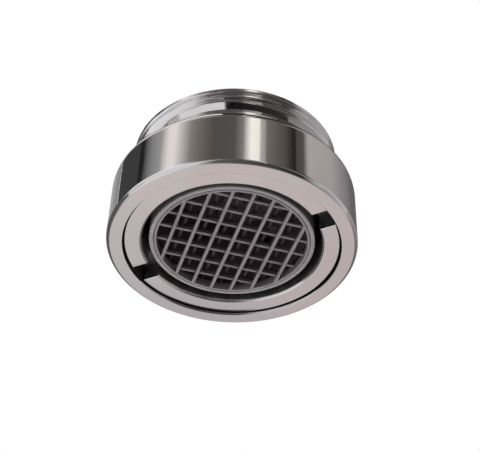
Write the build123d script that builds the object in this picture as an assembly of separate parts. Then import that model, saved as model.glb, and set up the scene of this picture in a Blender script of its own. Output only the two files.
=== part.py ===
from build123d import *
import os

# A theft-proof tap aerator: a threaded body with key slots, a sleeve that spins freely round it,
# and a plastic insert that mixes air into the water. It hangs under the spout, so the thread points
# up (+Z) and the outlet down. The origin is on the axis, in the plane of the sleeve's lower face.
# All sizes are in millimetres and all angles in degrees.

# Threaded body, turned from one bar
thread_diameter = 24.0      # outside diameter of the M24 x 1 thread, and of the plain barrel under it
thread_length = 4.05        # from the undercut to the top face
thread_lead_in = 0.6        # chamfer where the thread starts
thread_foot = 0.4           # height of the slope from the undercut out to the thread
neck_height = 2.3           # of the undercut above the sleeve
outlet_recess = 0.4         # height of the body's lower rim above the sleeve's lower face
neck_wall = 1.3             # between the thread and the seat for the seal washer
seat_depth = 3.4            # from the top face down to the ledge that carries the insert
ledge_width = 0.6
slot_width = 2.5            # two key slots across the lower rim
slot_depth = 2.0
slot_angle = -27.0          # of the line through both slots, from +X

# Sleeve, its upper end rolled into the undercut below the thread
running_gap = 0.2           # between the sleeve and the body, all round
sleeve_wall = 1.8
sleeve_height = 7.6
sleeve_bevel_height = 0.7   # shallow bevel round the upper edge
sleeve_bevel_depth = 0.2
sleeve_edge_chamfer = 0.3   # lower outside edge
collar_height = 0.8         # inward collar that runs in the undercut
collar_bite = 0.5           # how far the collar reaches in past the barrel
collar_side_gap = 0.25      # between the collar and the barrel under it

# Insert housing, hung by its flange on the body's ledge
flange_gap = 0.1            # between the washer seat and what lies in it
flange_height = 1.0
air_gap = 0.8               # ring through which air rises, between the housing and the body's bore
housing_wall = 0.75
outlet_setback = 0.5        # height of the housing's lower end above the body's lower rim
shoulder_width = 0.25       # inside the housing, on which the lattices pushed in from below stop
window_count = 6            # air windows under the flange
window_width = 2.5
window_height = 2.0
window_drop = 0.6           # from the flange down to the windows

# Lattices, stacked below the shoulder, the lowest level with the housing's lower end
lattice_count = 3
lattice_gap = 0.05          # between a lattice and the housing's wall, and over its bars
lattice_rim = 0.3
lattice_height = 0.5
bar_pitch = 2.27
bar_width = 0.38            # at the lower edge
bar_draft = 7.0             # taper of each side of a bar
lattice_angle = 15.5        # of the bars in the second lattice, from +X

# Jet plate, strainer and seal washer, stacked on the flange
plate_height = 0.8
jet_count = 10              # in each of two rings
jet_length = 1.2
jet_width = 0.5
jet_inset = 1.5             # from the housing's wall to the middle of the outer jets
jet_ring_step = 2.4         # between the two rings
strainer_sheet = 0.5
hat_rise = 1.2              # height of the strainer's hat above its rim
hat_gap = 0.3               # between the hat and the washer's hole
strainer_slot_count = 10
strainer_slot_width = 0.7
strainer_slot_inset = 0.8   # from the edge of the hat to the slots
strainer_hub = 2.0          # radius of the plain middle
washer_width = 1.7
washer_height = 1.6

# Radii that follow from the bar and the walls
barrel_radius = thread_diameter / 2
collar_radius = barrel_radius - collar_bite
undercut_radius = collar_radius - running_gap
sleeve_bore = barrel_radius + running_gap
sleeve_radius = sleeve_bore + sleeve_wall
seat_radius = barrel_radius - neck_wall
bore_radius = seat_radius - ledge_width
flange_radius = seat_radius - flange_gap
housing_radius = bore_radius - air_gap
chamber_radius = housing_radius - housing_wall
socket_radius = chamber_radius + shoulder_width
lattice_radius = socket_radius - lattice_gap
outlet_radius = lattice_radius - lattice_rim
washer_hole = flange_radius - washer_width
hat_radius = washer_hole - hat_gap

# Heights that follow, from the outlet up
collar_level = sleeve_height - collar_height
barrel_top = collar_level - collar_side_gap
thread_bottom = sleeve_height + neck_height
body_top = thread_bottom + thread_length
ledge_level = body_top - seat_depth
housing_bottom = outlet_recess + outlet_setback
socket_top = housing_bottom + lattice_count * lattice_height
plate_level = ledge_level + flange_height
strainer_level = plate_level + plate_height
washer_level = strainer_level + strainer_sheet

bars_across = 2 * int(outlet_radius / bar_pitch) + 1


def turned(*outline):
    """Solid turned about the Z axis from a closed outline of (radius, height) points."""
    points = [(radius, 0, height) for radius, height in outline]
    return revolve(make_face(Polyline(*points, close=True)), Axis.Z)


def tube(outer, inner, bottom, height):
    """Plain ring between two radii."""
    top = bottom + height
    return turned((inner, bottom), (outer, bottom), (outer, top), (inner, top))


def make_threaded_body():
    body = turned(
        (bore_radius, outlet_recess),
        (barrel_radius, outlet_recess),
        (barrel_radius, barrel_top),
        (undercut_radius, barrel_top),
        (undercut_radius, thread_bottom),
        (barrel_radius, thread_bottom + thread_foot),
        (barrel_radius, body_top - thread_lead_in),
        (barrel_radius - thread_lead_in, body_top),
        (seat_radius, body_top),
        (seat_radius, ledge_level),
        (bore_radius, ledge_level),
    )
    slots = Pos(0, 0, outlet_recess) * Box(2 * sleeve_radius, slot_width, 2 * slot_depth)
    return body - Rot(0, 0, slot_angle) * slots


def make_sleeve():
    return turned(
        (sleeve_bore, 0),
        (sleeve_radius - sleeve_edge_chamfer, 0),
        (sleeve_radius, sleeve_edge_chamfer),
        (sleeve_radius, sleeve_height - sleeve_bevel_height),
        (sleeve_radius - sleeve_bevel_depth, sleeve_height),
        (collar_radius, sleeve_height),
        (collar_radius, collar_level),
        (sleeve_bore, collar_level),
    )


def make_insert_housing():
    housing = turned(
        (socket_radius, housing_bottom),
        (housing_radius, housing_bottom),
        (housing_radius, ledge_level),
        (flange_radius, ledge_level),
        (flange_radius, plate_level),
        (chamber_radius, plate_level),
        (chamber_radius, socket_top),
        (socket_radius, socket_top),
    )
    window_level = ledge_level - window_drop - window_height / 2
    window = Pos(0, 0, window_level) * Box(4 * housing_wall, window_width, window_height)
    return housing - PolarLocations(housing_radius, window_count) * window


def make_lattice(place, angle, bar_count):
    """A moulded ring with parallel bars level with its lower edge, the given place up the stack."""
    level = housing_bottom + place * lattice_height
    ring = tube(lattice_radius, outlet_radius, level, lattice_height)
    bar_height = lattice_height - lattice_gap
    section = Trapezoid(bar_width, bar_height, 90 - bar_draft, align=(Align.CENTER, Align.MIN))
    sections = Sketch() + GridLocations(bar_pitch, 0, bar_count, 1) * section
    bars = Pos(0, 0, level) * extrude(Plane.XZ * sections, lattice_radius, both=True)
    bars &= Cylinder(outlet_radius + lattice_rim / 2, 4 * body_top)
    return Rot(0, 0, angle - 90) * (ring + bars)


def make_jet_plate():
    plate = tube(flange_radius, 0, plate_level, plate_height)
    jet = Pos(0, 0, plate_level) * Box(jet_length, jet_width, 4 * plate_height)
    outer_ring = chamber_radius - jet_inset
    for ring_radius in (outer_ring, outer_ring - jet_ring_step):
        plate -= PolarLocations(ring_radius, jet_count) * jet
    return plate


def make_strainer():
    """A flat rim and a low hat inside it, with radial slots round the plain middle of its top."""
    crown = washer_level + hat_rise
    strainer = turned(
        (hat_radius - strainer_sheet, strainer_level),
        (flange_radius, strainer_level),
        (flange_radius, washer_level),
        (hat_radius, washer_level),
        (hat_radius, crown),
        (0, crown),
        (0, crown - strainer_sheet),
        (hat_radius - strainer_sheet, crown - strainer_sheet),
    )
    slot_length = hat_radius - strainer_slot_inset - strainer_hub
    slot = Pos(0, 0, crown) * Box(slot_length, strainer_slot_width, 4 * strainer_sheet)
    return strainer - PolarLocations(strainer_hub + slot_length / 2, strainer_slot_count) * slot


parts = {
    "threaded_body": make_threaded_body(),
    "sleeve": make_sleeve(),
    "insert_housing": make_insert_housing(),
    "outlet_lattice": make_lattice(0, lattice_angle + 90, bars_across),
    "lower_lattice": make_lattice(1, lattice_angle, bars_across),
    "upper_lattice": make_lattice(2, lattice_angle + 90, bars_across - 1),
    "jet_plate": make_jet_plate(),
    "strainer": make_strainer(),
    "seal_washer": tube(flange_radius, washer_hole, washer_level, washer_height),
}

os.makedirs("parts", exist_ok=True)
for node, solid in parts.items():
    export_step(solid, f"parts/{node}.step")
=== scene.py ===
import math
import bmesh
import bpy
import numpy as np
from mathutils import Matrix, Vector


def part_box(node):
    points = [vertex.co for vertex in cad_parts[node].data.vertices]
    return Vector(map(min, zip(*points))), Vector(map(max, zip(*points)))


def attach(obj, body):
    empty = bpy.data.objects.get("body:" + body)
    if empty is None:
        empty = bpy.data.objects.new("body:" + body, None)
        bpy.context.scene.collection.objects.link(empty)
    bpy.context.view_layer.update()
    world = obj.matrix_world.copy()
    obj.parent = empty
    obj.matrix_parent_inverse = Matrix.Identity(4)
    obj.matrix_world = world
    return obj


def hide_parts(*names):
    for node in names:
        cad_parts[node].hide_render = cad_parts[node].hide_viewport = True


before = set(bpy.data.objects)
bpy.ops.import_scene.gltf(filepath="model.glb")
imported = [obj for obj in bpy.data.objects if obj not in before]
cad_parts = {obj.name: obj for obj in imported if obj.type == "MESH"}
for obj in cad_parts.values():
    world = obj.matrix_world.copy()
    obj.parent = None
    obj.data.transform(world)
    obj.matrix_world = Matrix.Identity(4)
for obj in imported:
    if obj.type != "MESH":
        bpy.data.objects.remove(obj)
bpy.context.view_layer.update()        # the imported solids, which stay where they are
mm = 0.001


# Threaded body: one brass turning, chromed outside, with the M24 x 1 thread at its top and two key
# slots milled across its lower rim. The spout holds it by the thread, and it holds all the rest.
def soften(outline):
    """Points of a closed outline of (radius, height, rounding), with each corner rounded."""
    points = []
    arc_steps = 6
    support = 0.03 * mm      # past each end of an arc, so that the shading beside it stays flat
    for i, (radius, height, rounding) in enumerate(outline):
        corner = Vector((radius, height))
        if not rounding:
            points.append(corner)
            continue
        before = Vector(outline[i - 1][:2]) - corner
        after = Vector(outline[(i + 1) % len(outline)][:2]) - corner
        back, on = before.normalized(), after.normalized()
        half = back.angle(on) / 2
        reach = rounding / math.tan(half)
        middle = corner + (back + on).normalized() * rounding / math.sin(half)
        start, end = corner + back * reach, corner + on * reach
        points.append(start + back * support)
        first, last = start - middle, end - middle
        sweep = math.copysign(math.pi - 2 * half, first.x * last.y - first.y * last.x)
        for k in range(arc_steps + 1):
            points.append(middle + Matrix.Rotation(sweep * k / arc_steps, 2) @ first)
        points.append(end + on * support)
    return np.array([tuple(point) for point in points])


def add_object(name, data):
    piece = bpy.data.objects.new(name, data)
    bpy.context.scene.collection.objects.link(piece)
    return piece


def turn(name, points, limit=None, steps=256):
    """Turns a closed outline about the Z axis, its radius held under a limit, such as a thread's."""
    count = len(points)
    angles = np.linspace(0, 2 * math.pi, steps, endpoint=False)[:, None]
    radius = np.broadcast_to(points[None, :, 0], (steps, count))
    height = np.broadcast_to(points[None, :, 1], (steps, count))
    if limit is not None:
        radius = np.minimum(radius, limit(angles, height))
    spots = np.stack([radius * np.cos(angles), radius * np.sin(angles), height], -1)
    around, along = np.meshgrid(np.arange(steps), np.arange(count), indexing="ij")
    next_around, next_along = (around + 1) % steps, (along + 1) % count
    quads = np.stack([around * count + along, next_around * count + along,
                      next_around * count + next_along, around * count + next_along], -1)
    mesh = bpy.data.meshes.new(name)
    mesh.from_pydata(spots.reshape(-1, 3).tolist(), [], quads.reshape(-1, 4).tolist())
    return add_object(name, mesh)


def prism(name, near_end, far_end):
    """A closed bar between two ends with the same corners, its faces outwards."""
    count = len(near_end)
    faces = [[i, (i + 1) % count, count + (i + 1) % count, count + i] for i in range(count)]
    faces += [list(range(count))[::-1], list(range(count, 2 * count))]
    mesh = bpy.data.meshes.new(name)
    mesh.from_pydata(near_end + far_end, [], faces)
    shape = bmesh.new()
    shape.from_mesh(mesh)
    bmesh.ops.recalc_face_normals(shape, faces=shape.faces)
    shape.to_mesh(mesh)
    shape.free()
    return mesh


def finish_mesh(piece):
    """Bakes the modifiers into a plain mesh, welded where the cuts left hair-thin faces, and smooth
    but for its sharp edges."""
    weld_distance = 0.002 * mm
    sharp_angle = math.radians(32)
    bpy.context.view_layer.update()
    graph = bpy.context.evaluated_depsgraph_get()
    mesh = bpy.data.meshes.new_from_object(piece.evaluated_get(graph))
    piece.modifiers.clear()
    piece.data = mesh
    shape = bmesh.new()
    shape.from_mesh(mesh)
    bmesh.ops.remove_doubles(shape, verts=shape.verts, dist=weld_distance)
    shape.to_mesh(mesh)
    shape.free()
    mesh.shade_smooth()
    mesh.set_sharp_from_angle(angle=sharp_angle)


def noise_mix(tree, scale, detail, low, high):
    """A noise on Object coordinates, spread between two values or colours."""
    low_at, high_at = 0.35, 0.65
    place = tree.nodes.new("ShaderNodeTexCoord")
    noise = tree.nodes.new("ShaderNodeTexNoise")
    noise.inputs["Scale"].default_value = scale
    noise.inputs["Detail"].default_value = detail
    ramp = tree.nodes.new("ShaderNodeValToRGB")
    for stop, at, value in zip(ramp.color_ramp.elements, (low_at, high_at), (low, high)):
        stop.position = at
        stop.color = value if hasattr(value, "__len__") else (value, value, value, 1)
    tree.links.new(place.outputs["Object"], noise.inputs["Vector"])
    tree.links.new(noise.outputs["Fac"], ramp.inputs["Fac"])
    return ramp.outputs["Color"]


def surface(name, metallic):
    """A new material, its node tree and its shader."""
    material = bpy.data.materials.new(name)
    material.use_nodes = True
    shader = material.node_tree.nodes["Principled BSDF"]
    shader.inputs["Metallic"].default_value = metallic
    return material, material.node_tree, shader


def bump(tree, shader, height, strength, distance):
    ripple = tree.nodes.new("ShaderNodeBump")
    ripple.inputs["Strength"].default_value = strength
    ripple.inputs["Distance"].default_value = distance
    tree.links.new(height, ripple.inputs["Height"])
    tree.links.new(ripple.outputs["Normal"], shader.inputs["Normal"])


def fade(tree, value, start, end):
    """0 where a value is below start, 1 where it is above end, with a smooth step between."""
    step = tree.nodes.new("ShaderNodeMapRange")
    step.interpolation_type = "SMOOTHSTEP"
    step.inputs["From Min"].default_value = start
    step.inputs["From Max"].default_value = end
    tree.links.new(value, step.inputs["Value"])
    return step.outputs["Result"]


def combine(tree, operation, first, second):
    """What a Math node makes of two values, each a number or the output of a node."""
    sums = tree.nodes.new("ShaderNodeMath")
    sums.operation = operation
    for socket, value in zip(sums.inputs, (first, second)):
        if isinstance(value, (int, float)):
            socket.default_value = value
        else:
            tree.links.new(value, socket)
    return sums.outputs["Value"]


def pick(tree, factor, plain, other):
    """Mixes two colours, or two values, by a factor."""
    mix = tree.nodes.new("ShaderNodeMix")
    mix.data_type = "RGBA"
    tree.links.new(factor, mix.inputs["Factor"])
    tree.links.new(plain, mix.inputs["A"])
    tree.links.new(other, mix.inputs["B"])
    return mix.outputs["Result"]


def inner_wall(tree, start, end, limit):
    """1 between two heights where the surface lies nearer to the axis than a limit, else 0."""
    foot_fade, head_fade, side_fade = 0.12 * mm, 0.1 * mm, 0.04 * mm
    place = tree.nodes.new("ShaderNodeTexCoord")
    split = tree.nodes.new("ShaderNodeSeparateXYZ")
    tree.links.new(place.outputs["Object"], split.inputs["Vector"])
    x_part = combine(tree, "MULTIPLY", split.outputs["X"], split.outputs["X"])
    y_part = combine(tree, "MULTIPLY", split.outputs["Y"], split.outputs["Y"])
    radius = combine(tree, "SQRT", combine(tree, "ADD", x_part, y_part), 0)
    above = fade(tree, split.outputs["Z"], start, start + foot_fade)
    over = fade(tree, split.outputs["Z"], end, end + head_fade)
    outside = fade(tree, radius, limit, limit + side_fade)
    beyond = combine(tree, "MAXIMUM", over, outside)
    return combine(tree, "MULTIPLY", above, combine(tree, "SUBTRACT", 1.0, beyond))


def chrome_plate(name, shade_from, shade_to, shade_radius):
    """Bright plate with a little haze and waviness. Between two heights and inside a radius it is
    rougher and darker: that dark colour is painted shade on the inner walls."""
    material, tree, shader = surface(name, metallic=1.0)
    wall_shade = inner_wall(tree, shade_from, shade_to, shade_radius)
    bright = noise_mix(tree, scale=90, detail=3,
                       low=(0.69, 0.672, 0.668, 1), high=(0.735, 0.715, 0.71, 1))
    # dark base colour for the masked inner walls: painted shade
    dull_shade = noise_mix(tree, scale=700, detail=4,
                     low=(0.15, 0.14, 0.14, 1), high=(0.24, 0.22, 0.22, 1))
    haze = noise_mix(tree, scale=260, detail=5, low=0.035, high=0.085)
    matt = noise_mix(tree, scale=900, detail=3, low=0.45, high=0.6)
    waves = noise_mix(tree, scale=420, detail=2, low=0.0, high=1.0)
    tree.links.new(pick(tree, wall_shade, bright, dull_shade), shader.inputs["Base Color"])
    tree.links.new(pick(tree, wall_shade, haze, matt), shader.inputs["Roughness"])
    bump(tree, shader, waves, strength=0.06, distance=0.02 * mm)
    return material


body_low, body_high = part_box("threaded_body")
sleeve_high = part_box("sleeve")[1]
barrel_radius = body_high.x
thread_pitch = 1.0 * mm
thread_depth = 0.61 * mm
thread_bottom = body_high.z - 3.25 * mm
thread_foot = 0.4 * mm                      # height of the slope from the undercut to the thread
lead_in = 0.6 * mm                          # chamfer at the top
crest_level = body_high.z - 0.57 * mm       # of the uppermost crest, at angle 0
crest_share = 0.3                           # of a flank, taken up by the rounding of the crest
land_share = 0.35                           # of the pitch, left flat on the uppermost crests
land_level = body_high.z - 2.1 * mm         # where the flat begins, to widen over land_rise
land_rise = 0.6 * mm
undercut_radius = barrel_radius - 0.7 * mm
barrel_top = sleeve_high.z - 1.05 * mm
seat_radius = barrel_radius - 1.3 * mm      # round the washer and the insert's flange
ledge_level = body_high.z - 3.4 * mm
bore_radius = seat_radius - 0.6 * mm
rim_round = 0.12 * mm
bore_round = 0.3 * mm
barrel_round = 0.06 * mm
unshaded_rim = 0.3 * mm                       # height up the bore left out of the painted shade
unlimited = 1.0                             # metre, far past the object


def thread_radius(angle, height):
    """Outside of the right-hand thread: rounded crests one pitch apart, the uppermost with a narrow
    land, and no limit below the thread."""
    turns = (height - crest_level) / thread_pitch - angle / (2 * math.pi)
    land = land_share * np.clip((height - land_level) / land_rise, 0, 1)
    flank = np.clip((np.abs(turns - np.round(turns)) * 2 - land) / (1 - land), 0, 1)
    straight = (2 * flank - crest_share) * crest_share
    cut = np.where(flank < crest_share, flank * flank, straight) / (crest_share * (2 - crest_share))
    return np.where(height < thread_bottom, unlimited, barrel_radius - thread_depth * cut)


foot_steps, lead_steps, rows_per_pitch = 8, 12, 24
foot_rows = [(undercut_radius + t * (barrel_radius - undercut_radius),
              thread_bottom + t * thread_foot, 0)
             for t in np.linspace(0, 1, foot_steps, endpoint=False)]
thread_levels = np.arange(thread_bottom + thread_foot, body_high.z - lead_in,
                          thread_pitch / rows_per_pitch)
thread_rows = [(barrel_radius, z, 0) for z in thread_levels]
lead_rows = [(barrel_radius - t, body_high.z - lead_in + t, 0)
             for t in np.linspace(0, lead_in, lead_steps)]
body_outline = [
    (bore_radius, body_low.z, bore_round),
    (barrel_radius, body_low.z, barrel_round),
    (barrel_radius, barrel_top, rim_round),
    (undercut_radius, barrel_top, rim_round),
    *foot_rows,
    *thread_rows,
    *lead_rows,
    (seat_radius, body_high.z, rim_round),
    (seat_radius, ledge_level, rim_round),
    (bore_radius, ledge_level, rim_round),
]
threaded_body = turn("threaded_body_plated", soften(body_outline), thread_radius)

slot_width = 2.5 * mm
slot_depth = 2.0 * mm
slot_angle = math.radians(-27)
slot_flare = 0.12 * mm


def slot_cutter():
    """A bar across the whole rim, flared at its mouth so that the slots' edges are broken."""
    half = slot_width / 2
    reach = 1.2 * barrel_radius
    overshoot = 1 * mm       # below the rim
    flare_points = 7
    mouth = [(half + slot_flare * (1 - math.cos(a)), slot_flare * (1 - math.sin(a)))
             for a in np.linspace(0, math.pi / 2, flare_points)]
    side = [(half, slot_depth), *mouth, (half + slot_flare, -overshoot)]
    section = side + [(-y, z) for y, z in reversed(side)]
    ends = [[(x, y, body_low.z + z) for y, z in section] for x in (-reach, reach)]
    mesh = prism("slot_cutter", *ends)
    mesh.transform(Matrix.Rotation(slot_angle, 4, "Z"))
    return add_object("slot_cutter", mesh)


cutter = slot_cutter()
milling = threaded_body.modifiers.new("key slots", "BOOLEAN")
milling.object = cutter
milling.operation = "DIFFERENCE"
milling.solver = "EXACT"
finish_mesh(threaded_body)
bpy.data.objects.remove(cutter)
# From just above its rim up to the sleeve's top the body gets the dark base: painted shade in the
# bore and slots.
body_chrome = chrome_plate("body_chrome", body_low.z + unshaded_rim, sleeve_high.z, 2 * barrel_radius)
threaded_body.data.materials.clear()
threaded_body.data.materials.append(body_chrome)
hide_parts("threaded_body")
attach(threaded_body, "core")


# Sleeve: a chromed brass ring that hides the body's barrel. Its upper end is rolled into the undercut
# below the thread, so it can't come off, and it spins freely when it is gripped without the key.
sleeve_radius = sleeve_high.x
sleeve_bore = barrel_radius + 0.2 * mm
collar_radius = barrel_radius - 0.5 * mm
collar_level = sleeve_high.z - 0.8 * mm
bevel_height = 0.7 * mm
bevel_depth = 0.2 * mm
edge_chamfer = 0.3 * mm
mouth_round = 0.05 * mm
chamfer_round = 0.25 * mm
bevel_round = 2.0 * mm
shoulder_round = 0.6 * mm
collar_round = 0.15 * mm
corner_round = 0.1 * mm
wall_allowance = 0.01 * mm
sleeve_outline = [
    (sleeve_bore, 0, mouth_round),
    (sleeve_radius - edge_chamfer, 0, chamfer_round),
    (sleeve_radius, edge_chamfer, chamfer_round),
    (sleeve_radius, sleeve_high.z - bevel_height, bevel_round),
    (sleeve_radius - bevel_depth, sleeve_high.z, shoulder_round),
    (collar_radius, sleeve_high.z, collar_round),
    (collar_radius, collar_level, collar_round),
    (sleeve_bore, collar_level, corner_round),
]
sleeve = turn("sleeve_plated", soften(sleeve_outline))
finish_mesh(sleeve)
# The sleeve's inner wall gets the dark base: painted shade.
sleeve_chrome = chrome_plate("sleeve_chrome", body_low.z, collar_level, sleeve_bore + wall_allowance)
sleeve.data.materials.append(sleeve_chrome)
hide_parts("sleeve")
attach(sleeve, "sleeve")


# Insert housing: a moulded acetal cup that hangs by its flange on the body's ledge. Its lower end
# shows as the grey ring round the outlet, and the windows under the flange let air into the water.
def moulded(name, dark, light, rough, inner_shade_from=None, inner_shade_radius=unlimited):
    """Moulded plastic: slightly uneven colour and a fine matt skin. Inside a radius, from a height
    up, it may be darkened with painted shade."""
    rough_spread = 0.06
    material, tree, shader = surface(name, metallic=0.0)
    colour = noise_mix(tree, scale=500, detail=4, low=(*dark, 1), high=(*light, 1))
    if inner_shade_from is not None:
        # dark red-brown laid on the inside: painted shade
        inner_shade = noise_mix(tree, scale=300, detail=4,
                          low=(0.155, 0.100, 0.116, 1), high=(0.215, 0.147, 0.168, 1))
        inner_shaded = inner_wall(tree, inner_shade_from, unlimited, inner_shade_radius)
        colour = pick(tree, inner_shaded, colour, inner_shade)
    skin = noise_mix(tree, scale=900, detail=4, low=rough - rough_spread, high=rough + rough_spread)
    grain = noise_mix(tree, scale=5200, detail=3, low=0.0, high=1.0)
    tree.links.new(colour, shader.inputs["Base Color"])
    tree.links.new(skin, shader.inputs["Roughness"])
    bump(tree, shader, grain, strength=0.12, distance=0.03 * mm)
    return material


def geometry_tree(name, *inputs):
    """A new node tree with its input and output nodes. It takes a geometry and the (label, kind)
    inputs and gives a geometry."""
    tree = bpy.data.node_groups.new(name, "GeometryNodeTree")
    tree.interface.new_socket("Geometry", in_out="OUTPUT", socket_type="NodeSocketGeometry")
    for label, kind in (("Geometry", "Geometry"), *inputs):
        tree.interface.new_socket(label, in_out="INPUT", socket_type=f"NodeSocket{kind}")
    return tree, tree.nodes.new("NodeGroupInput"), tree.nodes.new("NodeGroupOutput")


def ring_of_cuts():
    """Node tree that cuts a ring of boxes out of a piece, each box turned to face the axis."""
    tree, given, out = geometry_tree(
        "ring of cuts", ("Count", "Int"), ("Radius", "Float"), ("Level", "Float"),
        ("Size", "Vector"), ("Finish", "Material"))
    node = tree.nodes.new
    link = tree.links.new
    circle, box = node("GeometryNodeMeshCircle"), node("GeometryNodeMeshCube")
    put, align = node("GeometryNodeInstanceOnPoints"), node("FunctionNodeAlignRotationToVector")
    place, raise_by = node("GeometryNodeInputPosition"), node("ShaderNodeCombineXYZ")
    lift, cut_out = node("GeometryNodeTransform"), node("GeometryNodeMeshBoolean")
    separate, whole = node("GeometryNodeRealizeInstances"), node("GeometryNodeRealizeInstances")
    paint = node("GeometryNodeSetMaterial")
    cut_out.operation = "DIFFERENCE"
    cut_out.solver = "EXACT"
    link(given.outputs["Count"], circle.inputs["Vertices"])
    link(given.outputs["Radius"], circle.inputs["Radius"])
    link(given.outputs["Size"], box.inputs["Size"])
    link(place.outputs["Position"], align.inputs["Vector"])
    link(circle.outputs["Mesh"], put.inputs["Points"])
    link(box.outputs["Mesh"], put.inputs["Instance"])
    link(align.outputs["Rotation"], put.inputs["Rotation"])
    link(given.outputs["Level"], raise_by.inputs["Z"])
    link(put.outputs["Instances"], lift.inputs["Geometry"])
    link(raise_by.outputs["Vector"], lift.inputs["Translation"])
    link(lift.outputs["Geometry"], separate.inputs["Geometry"])
    link(given.outputs["Geometry"], cut_out.inputs["Mesh 1"])
    link(separate.outputs["Geometry"], cut_out.inputs["Mesh 2"])
    link(cut_out.outputs["Mesh"], whole.inputs["Geometry"])
    link(whole.outputs["Geometry"], paint.inputs["Geometry"])
    link(given.outputs["Finish"], paint.inputs["Material"])
    link(paint.outputs["Geometry"], out.inputs["Geometry"])
    return tree


def set_inputs(modifier, **values):
    """Sets a node tree's inputs through their socket identifiers."""
    for item in modifier.node_group.interface.items_tree:
        if item.in_out == "INPUT" and item.name in values:
            modifier[item.identifier] = values[item.name]


housing_low, housing_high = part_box("insert_housing")
flange_radius = housing_high.x
housing_radius = bore_radius - 0.8 * mm
chamber_radius = housing_radius - 0.75 * mm
socket_radius = chamber_radius + 0.25 * mm
socket_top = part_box("upper_lattice")[1].z
outlet_round = 0.08 * mm
end_round = 0.15 * mm
flange_round = 0.1 * mm
socket_round = 0.05 * mm
housing_outline = [
    (socket_radius, housing_low.z, outlet_round),
    (housing_radius, housing_low.z, end_round),
    (housing_radius, ledge_level, flange_round),
    (flange_radius, ledge_level, flange_round),
    (flange_radius, housing_high.z, flange_round),
    (chamber_radius, housing_high.z, flange_round),
    (chamber_radius, socket_top, socket_round),
    (socket_radius, socket_top, socket_round),
]
unshaded_end = 0.2 * mm                        # height of the lower end left out of the painted shade
shade_margin = 0.05 * mm
# The chamber's inside, within the socket's radius and above the lower end, is darkened: painted
# shade.
housing_acetal = moulded("housing_acetal", (0.31, 0.29, 0.295), (0.37, 0.35, 0.355), rough=0.42,
                         inner_shade_from=housing_low.z + unshaded_end,
                         inner_shade_radius=socket_radius + shade_margin)
housing = turn("housing_moulding", soften(housing_outline), steps=192)
window_count = 6
window_size = Vector((2.2, 2.5, 2.0)) * mm  # through the wall, along it and up it
window_level = ledge_level - 1.6 * mm
windows = housing.modifiers.new("air windows", "NODES")
windows.node_group = ring_of_cuts()
set_inputs(windows, Count=window_count, Radius=housing_radius, Level=window_level, Size=window_size,
           Finish=housing_acetal)
finish_mesh(housing)
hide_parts("insert_housing")
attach(housing, "core")


# Lattices: three moulded rings with parallel bars, pushed into the housing from below and each turned
# across the one under it. The two grey ones make the grid that shows in the outlet.
lattice_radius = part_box("outlet_lattice")[1].x
outlet_radius = lattice_radius - 0.3 * mm
lower_round = 0.06 * mm
upper_round = 0.05 * mm
bar_width = 0.38 * mm
bar_height = 0.45 * mm
bar_pitch = 2.27 * mm
bar_draft = math.radians(7)
bar_edge = 0.07 * mm
bar_lift = 0.01 * mm                        # so that no bar's face lies in the plane of the ring's
lattice_angle = math.radians(15.5)


def bar_blank():
    """One bar of unit length along Y, narrower at its top and rounded at its lower edges."""
    half = bar_width / 2
    top = half - bar_height * math.tan(bar_draft)
    edge_points = 4
    lower = [(half - bar_edge * (1 - math.cos(a)), bar_edge * (1 - math.sin(a)))
             for a in np.linspace(0, math.pi / 2, edge_points)]
    side = [(top, bar_height), *lower]
    section = side + [(-x, z) for x, z in reversed(side)]
    ends = [[(x, y, z) for x, z in section] for y in (0.5, -0.5)]
    return bpy.data.objects.new("bar_blank", prism("bar_blank", *ends))


def bars_in_ring():
    """Node tree that lays evenly spaced bars across a ring, each as long as it is wide there."""
    tree, given, out = geometry_tree(
        "bars in ring", ("Bar", "Object"), ("Bars", "Int"), ("First", "Vector"), ("Step", "Vector"),
        ("Reach", "Float"), ("Turn", "Rotation"), ("Place", "Vector"), ("Finish", "Material"))
    node = tree.nodes.new
    link = tree.links.new
    line, blank = node("GeometryNodeMeshLine"), node("GeometryNodeObjectInfo")
    put, place = node("GeometryNodeInstanceOnPoints"), node("GeometryNodeInputPosition")
    split, stretch = node("ShaderNodeSeparateXYZ"), node("ShaderNodeCombineXYZ")
    swing, fuse = node("GeometryNodeTransform"), node("GeometryNodeMeshBoolean")
    separate, whole = node("GeometryNodeRealizeInstances"), node("GeometryNodeRealizeInstances")
    paint = node("GeometryNodeSetMaterial")
    fuse.operation = "UNION"
    fuse.solver = "MANIFOLD"
    link(given.outputs["Bars"], line.inputs["Count"])
    link(given.outputs["First"], line.inputs["Start Location"])
    link(given.outputs["Step"], line.inputs["Offset"])
    link(given.outputs["Bar"], blank.inputs["Object"])
    link(line.outputs["Mesh"], put.inputs["Points"])
    link(blank.outputs["Geometry"], put.inputs["Instance"])
    link(place.outputs["Position"], split.inputs["Vector"])
    aside = combine(tree, "MULTIPLY", split.outputs["X"], split.outputs["X"])
    across = combine(tree, "MULTIPLY", given.outputs["Reach"], given.outputs["Reach"])
    half_length = combine(tree, "SQRT", combine(tree, "SUBTRACT", across, aside), 0)
    stretch.inputs["X"].default_value = stretch.inputs["Z"].default_value = 1
    link(combine(tree, "MULTIPLY", half_length, 2), stretch.inputs["Y"])
    link(stretch.outputs["Vector"], put.inputs["Scale"])
    link(put.outputs["Instances"], swing.inputs["Geometry"])
    link(given.outputs["Turn"], swing.inputs["Rotation"])
    link(given.outputs["Place"], swing.inputs["Translation"])
    link(swing.outputs["Geometry"], separate.inputs["Geometry"])
    link(given.outputs["Geometry"], fuse.inputs["Mesh 2"])
    link(separate.outputs["Geometry"], fuse.inputs["Mesh 2"])
    link(fuse.outputs["Mesh"], whole.inputs["Geometry"])
    link(whole.outputs["Geometry"], paint.inputs["Geometry"])
    link(given.outputs["Finish"], paint.inputs["Material"])
    link(paint.outputs["Geometry"], out.inputs["Geometry"])
    return tree


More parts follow.
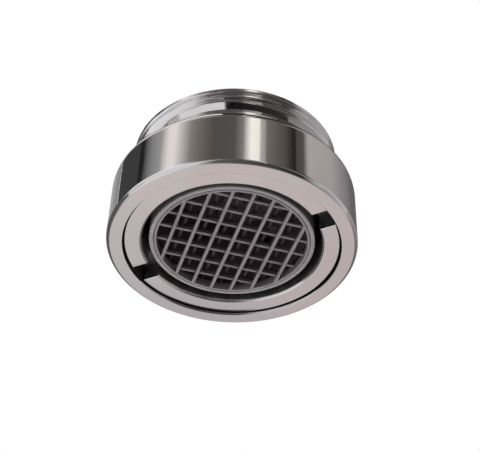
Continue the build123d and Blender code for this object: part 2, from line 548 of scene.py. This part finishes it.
bar = bar_blank()
bar_tree = bars_in_ring()
# The lattices' grey is a darker copy of the housing's grey acetal: painted shade.
shaded_grey_acetal = moulded("shaded_grey_acetal", (0.25, 0.218, 0.229), (0.30, 0.262, 0.275), rough=0.42)
# The lower lattice, deeper in the outlet, gets a still darker copy of the grey: painted shade.
deep_shade_acetal = moulded("deep_shade_acetal", (0.19, 0.161, 0.170), (0.23, 0.196, 0.206), rough=0.5)
# The upper lattice, deep inside the housing, is made near black: painted shade.
interior_shade_acetal = moulded("interior_shade_acetal", (0.032, 0.019, 0.022), (0.048, 0.029, 0.034), rough=0.75)
for node_name, bars, angle, acetal, slot_name in (
        ("outlet_lattice", 7, lattice_angle + math.pi / 2, shaded_grey_acetal, "grey_plastic"),
        ("lower_lattice", 7, lattice_angle, deep_shade_acetal, "grey_plastic"),
        ("upper_lattice", 6, lattice_angle + math.pi / 2, interior_shade_acetal, "dark_plastic")):
    low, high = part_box(node_name)
    ring_outline = [
        (outlet_radius, low.z, lower_round),
        (lattice_radius, low.z, lower_round),
        (lattice_radius, high.z, upper_round),
        (outlet_radius, high.z, upper_round),
    ]
    lattice = turn(f"{node_name}_moulding", soften(ring_outline), steps=160)
    laying = lattice.modifiers.new("bars", "NODES")
    laying.node_group = bar_tree
    set_inputs(laying, Bar=bar, Bars=bars, First=(-(bars - 1) / 2 * bar_pitch, 0, 0),
               Step=(bar_pitch, 0, 0), Reach=(outlet_radius + lattice_radius) / 2,
               Turn=(0, 0, angle - math.pi / 2), Place=(0, 0, low.z + bar_lift), Finish=acetal)
    finish_mesh(lattice)
    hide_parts(node_name)
    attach(lattice, "core")
bpy.data.objects.remove(bar)


# Jet plate: a moulded disc with two rings of slits that turn the water into jets, coloured dark as
# painted shade. It lies on the housing's flange and is clamped there, so only its underside shows,
# deep behind the lattices.
jet_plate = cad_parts["jet_plate"]
# dark mauve-brown in place of the plate's own colour: painted shade
plate_shade_acetal = moulded("plate_shade_acetal", (0.25, 0.16, 0.185), (0.31, 0.205, 0.235), rough=0.6)
for material_slot in jet_plate.material_slots:
    material_slot.material = plate_shade_acetal


# Strainer: a moulded hat of natural acetal with radial slots, which keeps grit out of the jets. Its
# rim is clamped between the jet plate and the seal washer.
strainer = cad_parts["strainer"]
natural_acetal = moulded("natural_acetal", (0.66, 0.66, 0.63), (0.74, 0.74, 0.71), rough=0.4)
for material_slot in strainer.material_slots:
    material_slot.material = natural_acetal


# Seal washer: a flat ring of black nitrile rubber that stands half a millimetre out of the body, so
# that the spout's land squeezes it when the thread is tightened.
washer_low, washer_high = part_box("seal_washer")
washer_hole = washer_high.x - 1.7 * mm
washer_round = 0.12 * mm
washer_outline = [
    (washer_hole, washer_low.z, washer_round),
    (washer_high.x, washer_low.z, washer_round),
    (washer_high.x, washer_high.z, washer_round),
    (washer_hole, washer_high.z, washer_round),
]
washer = turn("seal_washer_rubber", soften(washer_outline), steps=192)
finish_mesh(washer)
black_nitrile = moulded("black_nitrile", (0.016, 0.016, 0.016), (0.03, 0.03, 0.03), rough=0.62)
washer.data.materials.append(black_nitrile)
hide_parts("seal_washer")
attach(washer, "core")


# Studio: a pale floor below the camera, and a ring of cards and a roof above the object. The chrome
# shows them as upright bands, pale for the softboxes and dark for the flags between them.
world = bpy.data.worlds.new("white_room")
bpy.context.scene.world = world
world.use_nodes = True
sky = world.node_tree.nodes["Background"]
sky.inputs["Color"].default_value = (1, 1, 1, 1)
sky.inputs["Strength"].default_value = 1.0

floor_half, floor_level = 3.0, -0.16
floor_white = (1, 1, 1, 1)                  # as the camera sees it
floor_mirrored = (0.66, 0.625, 0.615, 1)    # as the chrome shows it
floor_mesh = bpy.data.meshes.new("floor")
floor_corners = [(x * floor_half, y * floor_half, floor_level)
                 for x, y in ((-1, -1), (1, -1), (1, 1), (-1, 1))]
floor_mesh.from_pydata(floor_corners, [], [(0, 1, 2, 3)])
floor = add_object("floor", floor_mesh)
floor_paint, floor_tree, floor_shader = surface("floor_paint", metallic=0.0)
floor_tone = noise_mix(floor_tree, scale=3, detail=2,
                       low=(0.78, 0.77, 0.76, 1), high=(0.82, 0.81, 0.80, 1))
floor_tree.links.new(floor_tone, floor_shader.inputs["Base Color"])
floor_shader.inputs["Roughness"].default_value = 0.9
path = floor_tree.nodes.new("ShaderNodeLightPath")
from_camera = path.outputs["Is Camera Ray"]
from_gloss = combine(floor_tree, "MAXIMUM",
                     path.outputs["Is Glossy Ray"], path.outputs["Is Transmission Ray"])
glow = floor_tree.nodes.new("ShaderNodeEmission")
tone = floor_tree.nodes.new("ShaderNodeMix")
tone.data_type = "RGBA"
tone.inputs["A"].default_value = floor_mirrored
tone.inputs["B"].default_value = floor_white
blend = floor_tree.nodes.new("ShaderNodeMixShader")
floor_tree.links.new(from_camera, tone.inputs["Factor"])
floor_tree.links.new(tone.outputs["Result"], glow.inputs["Color"])
floor_tree.links.new(combine(floor_tree, "MAXIMUM", from_camera, from_gloss), blend.inputs["Fac"])
floor_tree.links.new(floor_shader.outputs["BSDF"], blend.inputs[1])
floor_tree.links.new(glow.outputs["Emission"], blend.inputs[2])
floor_tree.links.new(blend.outputs["Shader"], floor_tree.nodes["Material Output"].inputs["Surface"])
floor_mesh.materials.append(floor_paint)

card_paint = bpy.data.materials.new("card_paint")
card_paint.use_nodes = True
card_tree = card_paint.node_tree
card_tree.nodes.clear()
card_tone = card_tree.nodes.new("ShaderNodeVertexColor")
card_tone.layer_name = "tone"
card_glow = card_tree.nodes.new("ShaderNodeEmission")
card_out = card_tree.nodes.new("ShaderNodeOutputMaterial")
card_tree.links.new(card_tone.outputs["Color"], card_glow.inputs["Color"])
card_tree.links.new(card_glow.outputs["Emission"], card_out.inputs["Surface"])


def card(name, corners, tones):
    """A flat card with a tone at each corner, seen only in the chrome and as light."""
    mesh = bpy.data.meshes.new(name)
    mesh.from_pydata(corners, [], [list(range(len(corners)))])
    layer = mesh.color_attributes.new("tone", "FLOAT_COLOR", "POINT")
    for point, tone_here in zip(layer.data, tones):
        point.color = (*tone_here, 1)
    mesh.materials.append(card_paint)
    piece = add_object(name, mesh)
    piece.visible_camera = False


def level_card(name, left, right, front, back, height, tones):
    """A level card, its tones from the front left corner round by the front right."""
    plan = ((left, front), (right, front), (right, back), (left, back))
    card(name, [(x, y, height) for x, y in plan], tones)


def bearing(degrees, elevation, distance):
    """A point at a bearing from the camera's side, -Y, at an elevation above the object."""
    turn_by, rise = math.radians(degrees), math.radians(elevation)
    flat = distance * math.cos(rise)
    return (flat * math.sin(turn_by), -flat * math.cos(turn_by), distance * math.sin(rise))


def tinted(tint, levels):
    return [tuple(level * part for part in tint) for level in levels]


card_distance = 0.6
card_foot, card_waist, card_head = -15, 36, 50
warm, cool = (1.0, 0.955, 0.925), (0.98, 0.98, 1.0)
ivory = (1.0, 0.98, 0.90)
brown, mauve = (1.0, 0.9, 0.84), (1.0, 0.93, 0.97)
grey, silver = (1.0, 0.95, 0.94), (0.97, 0.965, 1.0)

# Upright cards: name, bearings of the two sides, levels at both, tint
cards = (
    ("left_wall", -180, -132, 0.65, 0.28, cool),
    ("left_flag", -131, -99, 0.06, 0.06, cool),
    ("left_flag_edge", -99, -94, 0.02, 0.02, cool),
    ("left_board_edge", -94, -85, 0.02, 0.24, cool),
    ("left_board", -85, -73, 0.25, 0.39, cool),
    ("left_softbox_start", -73, -64, 0.39, 0.97, warm),
    ("left_softbox", -64, -58, 0.98, 1.0, warm),
    ("left_softbox_end", -58, -43, 1.0, 0.35, warm),
    ("left_falloff", -43, -36, 0.33, 0.23, brown),
    ("left_fade", -36, -20, 0.23, 0.11, brown),
    ("front_flag", -20, -1, 0.105, 0.11, warm),
    ("front_glow", -1, 7, 0.11, 0.27, warm),
    ("front_softbox_start", 7, 14, 0.27, 1.2, warm),
    ("front_softbox", 14, 22.3, 1.24, 1.12, ivory),
    ("front_softbox_end", 22.3, 28, 0.62, 0.36, warm),
    ("front_falloff", 28, 47, 0.21, 0.10, brown),
    ("right_fade", 47, 53.5, 0.095, 0.04, brown),
    ("right_flag_edge", 53.5, 57.5, 0.03, 0.026, brown),
    ("right_flag", 57.5, 66, 0.085, 0.115, brown),
    ("right_board_edge", 66, 71.5, 0.13, 0.5, warm),
    ("right_board", 71.5, 102, 0.5, 0.45, warm),
    ("right_wall", 102, 140, 0.44, 0.16, mauve),
    ("right_edge", 140, 180, 0.15, 0.14, mauve),
)
low_cards = (
    ("low_left_corner", -180, -140, 0.12, 0.12, cool),
    ("low_left_wall", -140, -100, 0.12, 0.12, cool),
    ("low_left_softbox_start", -100, -88, 0.12, 0.9, cool),
    ("low_left_softbox", -88, -42, 1.0, 1.05, cool),
    ("low_left_softbox_end", -42, -30, 1.1, 0.25, cool),
    ("low_left_edge", -30, -10, 0.2, 0.14, cool),
    ("low_front_flag", -10, 6, 0.13, 0.13, cool),
    ("low_front_board", 6, 25, 0.25, 0.6, cool),
    ("low_right_flag", 25, 60, 0.13, 0.05, warm),
    ("low_right_edge", 60, 71, 0.05, 0.52, cool),
    ("low_right_board", 71, 105, 0.58, 0.64, cool),
    ("low_right_wall", 105, 142, 0.45, 0.2, mauve),
    ("low_right_corner", 142, 180, 0.2, 0.12, mauve),
)
for ring, foot, head in ((cards, card_waist, card_head), (low_cards, card_foot, card_waist)):
    for name, start, end, start_level, end_level, tint in ring:
        corners = [bearing(start, foot, card_distance), bearing(end, foot, card_distance),
                   bearing(end, head, card_distance), bearing(start, head, card_distance)]
        card(name, corners, tinted(tint, (start_level, end_level, end_level, start_level)))

# Roof: name, left, right, front, back, height, levels at the corners
roof_height = card_distance * math.sin(math.radians(card_head))
lamp_height = roof_height - 5 * mm
roof_cards = (
    ("roof_left", -0.5, -0.058, -0.45, 0.45, roof_height, (1.2, 0.12, 0.12, 1.2)),
    ("roof_middle", -0.058, 0.27, -0.45, 0.45, roof_height, (0.12, 0.12, 0.12, 0.12)),
    ("roof_right", 0.27, 0.5, -0.45, 0.45, roof_height, (0.4, 0.4, 0.4, 0.4)),
    ("roof_flag", -0.058, 0.27, -0.20, -0.04, lamp_height, (0.003, 0.055, 0.055, 0.003)),
    ("roof_lamp", 0.02, 0.08, -0.04, 0.45, lamp_height, (1.2, 1.2, 1.2, 1.2)),
    ("roof_glow", 0.03, 0.10, -0.45, -0.20, lamp_height, (0.4, 0.4, 0.4, 0.4)),
)
for name, left, right, front, back, height, levels in roof_cards:
    level_card(name, left, right, front, back, height, tinted(grey, levels))
strip_plan = ((-0.30, -0.105), (-0.058, -0.185), (-0.058, -0.115), (-0.30, -0.015))
strip_tones = tinted(silver, (1.3, 1.3, 1.3, 1.3))
card("roof_strip", [(x, y, lamp_height) for x, y in strip_plan], strip_tones)

# Cards on the floor: name, left, right, front, back, tint, levels at the corners
sheet_level = floor_level + mm
sheet_tones = [(0.80, 0.755, 0.72), (0.64, 0.585, 0.55), (0.59, 0.49, 0.54), (0.44, 0.48, 0.52)]
level_card("floor_sheet", -0.07, 0.07, 0.12, 0.26, sheet_level, sheet_tones)
floor_cards = (
    ("floor_flag", -0.055, 0.20, -0.6, -0.06, grey, (0.14, 0.01, 0.01, 0.14)),
    ("floor_flag_side", -0.105, -0.055, -0.6, -0.06, silver, (0.88, 0.14, 0.14, 0.88)),
    ("floor_flag_edge", 0.0, 0.12, -0.06, 0.10, grey, (0.12, 0.10, 0.44, 0.44)),
    ("floor_flag_start", -0.055, 0.0, -0.06, 0.10, silver, (0.85, 0.12, 0.44, 0.90)),
    ("floor_left", -0.29, -0.105, -0.6, -0.06, silver, (0.80, 0.88, 0.88, 0.85)),
    ("floor_left_middle", -0.29, -0.055, -0.06, 0.06, silver, (1.0, 0.85, 0.95, 1.1)),
    ("floor_left_edge", -0.29, -0.075, 0.06, 0.13, silver, (0.95, 0.8, 0.14, 0.14)),
    ("floor_left_back", -0.29, -0.075, 0.13, 0.6, grey, (0.15, 0.15, 0.15, 0.15)),
    ("floor_left_front", -0.6, -0.29, -0.6, 0.04, silver, (0.55, 0.55, 0.65, 0.9)),
    ("floor_left_flag", -0.6, -0.29, 0.04, 0.6, grey, (0.12, 0.12, 0.12, 0.12)),
    ("floor_right_start", 0.20, 0.25, -0.6, -0.06, silver, (0.03, 0.50, 0.50, 0.03)),
    ("floor_right_front", 0.25, 0.5, -0.6, -0.06, silver, (0.52, 0.54, 0.54, 0.52)),
    ("floor_right", 0.12, 0.5, -0.06, 0.12, silver, (0.25, 0.64, 0.56, 0.60)),
    ("floor_right_edge", 0.08, 0.5, 0.12, 0.22, grey, (0.46, 0.46, 0.15, 0.15)),
    ("floor_right_flag", 0.08, 0.5, 0.22, 0.6, grey, (0.12, 0.12, 0.12, 0.12)),
)
for name, left, right, front, back, tint, levels in floor_cards:
    level_card(name, left, right, front, back, sheet_level, tinted(tint, levels))

# Fill lamp: lights the grid from below and behind, and doesn't show in the chrome
fill = bpy.data.lights.new("fill", "AREA")
fill.shape = "DISK"
fill.size = 0.2
fill.energy = 0.36
fill_lamp = add_object("fill", fill)
fill_place = Vector(bearing(-160, -52, 0.19))
fill_turn = fill_place.to_track_quat("Z", "Y").to_matrix().to_4x4()
fill_lamp.matrix_world = Matrix.Translation(fill_place) @ fill_turn
fill_lamp.visible_glossy = False
fill_lamp.visible_camera = False


# Camera: below and in front of the outlet, as in the photograph. Its distance, tilt and roll are set,
# and it is then aimed so that the origin falls on its pixel of the picture.
picture_width, picture_height = 480, 450
focal_pixels = 1077.5
camera_distance = 0.120
camera_below = math.radians(39.9)
camera_roll = math.radians(2.05)
origin_pixel = (232.6, 250.0)
forward = Vector((0, math.cos(camera_below), math.sin(camera_below)))
above = Vector((0, -math.sin(camera_below), math.cos(camera_below)))
beside = Vector((1, 0, 0))
off_x, off_y = origin_pixel[0] - picture_width / 2, origin_pixel[1] - picture_height / 2
aim = (forward * focal_pixels - beside * off_x + above * off_y).normalized()
level_right = aim.cross(above).normalized()
level_up = level_right.cross(aim)
right = level_right * math.cos(camera_roll) + level_up * math.sin(camera_roll)
up = level_up * math.cos(camera_roll) - level_right * math.sin(camera_roll)
lens = bpy.data.cameras.new("camera")
lens.sensor_width = 36
lens.lens = focal_pixels * lens.sensor_width / picture_width
lens.clip_start = 0.005
camera = add_object("camera", lens)
camera_turn = Matrix((right, up, -aim)).transposed().to_4x4()
camera.matrix_world = Matrix.Translation(forward * -camera_distance) @ camera_turn
bpy.context.scene.camera = camera
bpy.context.scene.view_settings.view_transform = "Standard"
